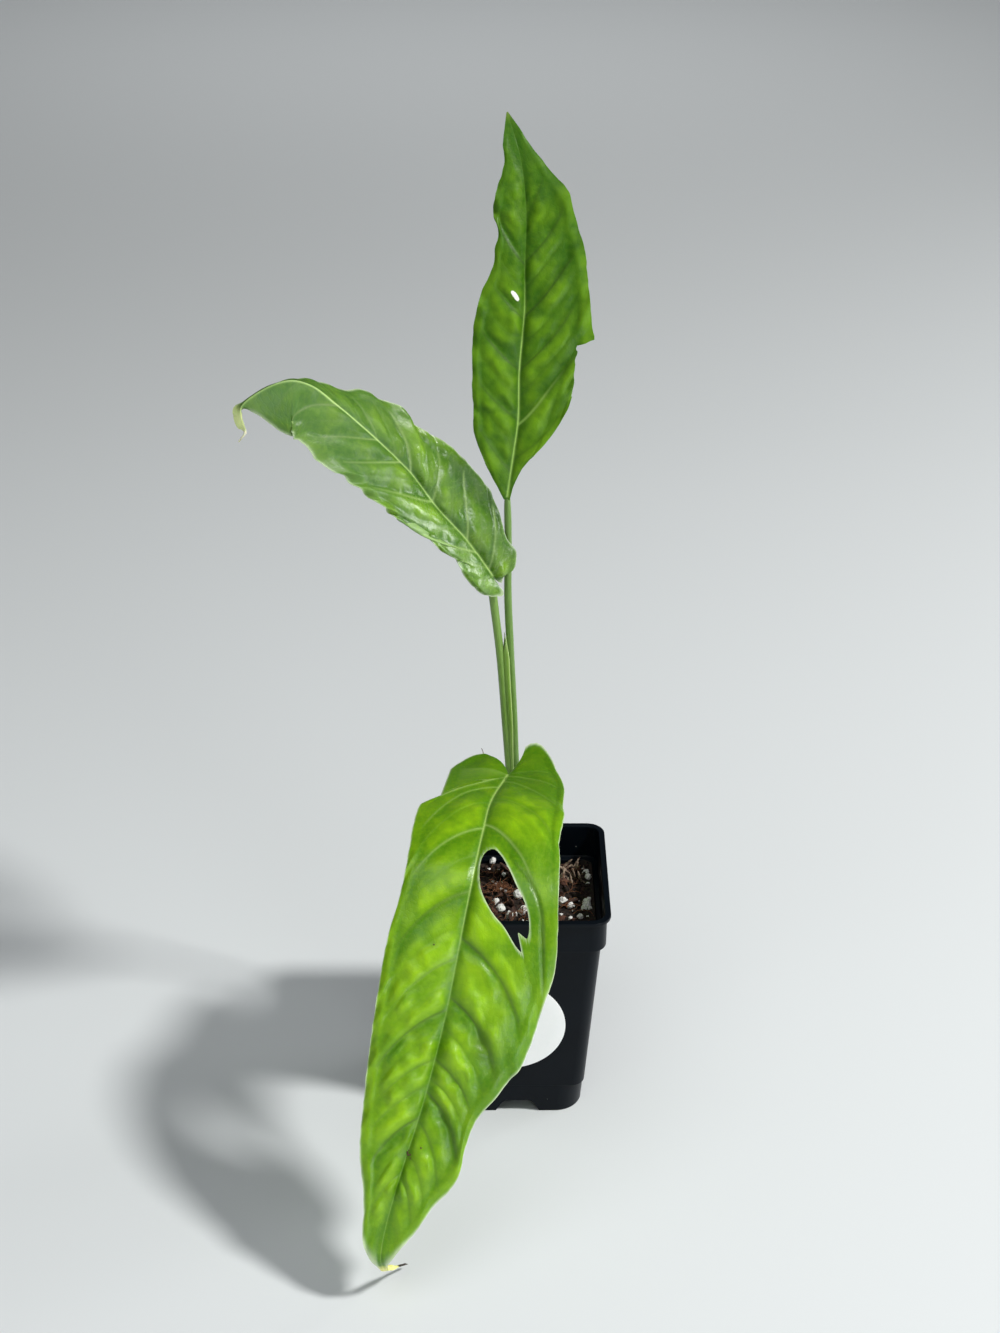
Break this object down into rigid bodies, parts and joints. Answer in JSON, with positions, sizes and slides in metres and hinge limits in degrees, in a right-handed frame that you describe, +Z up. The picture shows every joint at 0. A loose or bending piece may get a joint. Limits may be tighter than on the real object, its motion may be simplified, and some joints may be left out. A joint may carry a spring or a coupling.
{
  "type": "potted monstera obliqua",
  "caption": "Young potted monstera: a long lower leaf with a window beside its midrib arches over the lip, upper leaves rise on slim sheathed stalks from a deep square nursery pot.",
  "frame": {"origin": "middle of the whole plant's footprint, leaves counted, at the level of the pot's feet", "axes": "+Z up; +X to the right and -Y to the front, the side that the largest leaf hangs over"},
  "size_m": [0.1458, 0.1952, 0.4366],
  "materials": {
    "pot_plastic": "satin",
    "label_paper": "satin",
    "mix": "matte",
    "stalk_green": "satin",
    "dried_leaf": "matte",
    "leaf_front": "satin",
    "leaf_middle": "satin",
    "leaf_top": "satin"
  },
  "bodies": {
    "root": {"pot": "pot_plastic", "label": "label_paper", "potting_mix": "mix", "stem": "stalk_green", "stalk_front": "stalk_green", "stalk_top": "stalk_green", "stalk_middle": "stalk_green", "dried_scale": "dried_leaf", "blade_front": "leaf_front", "blade_middle": "leaf_middle", "blade_top": "leaf_top"}
  },
  "joints": []
}
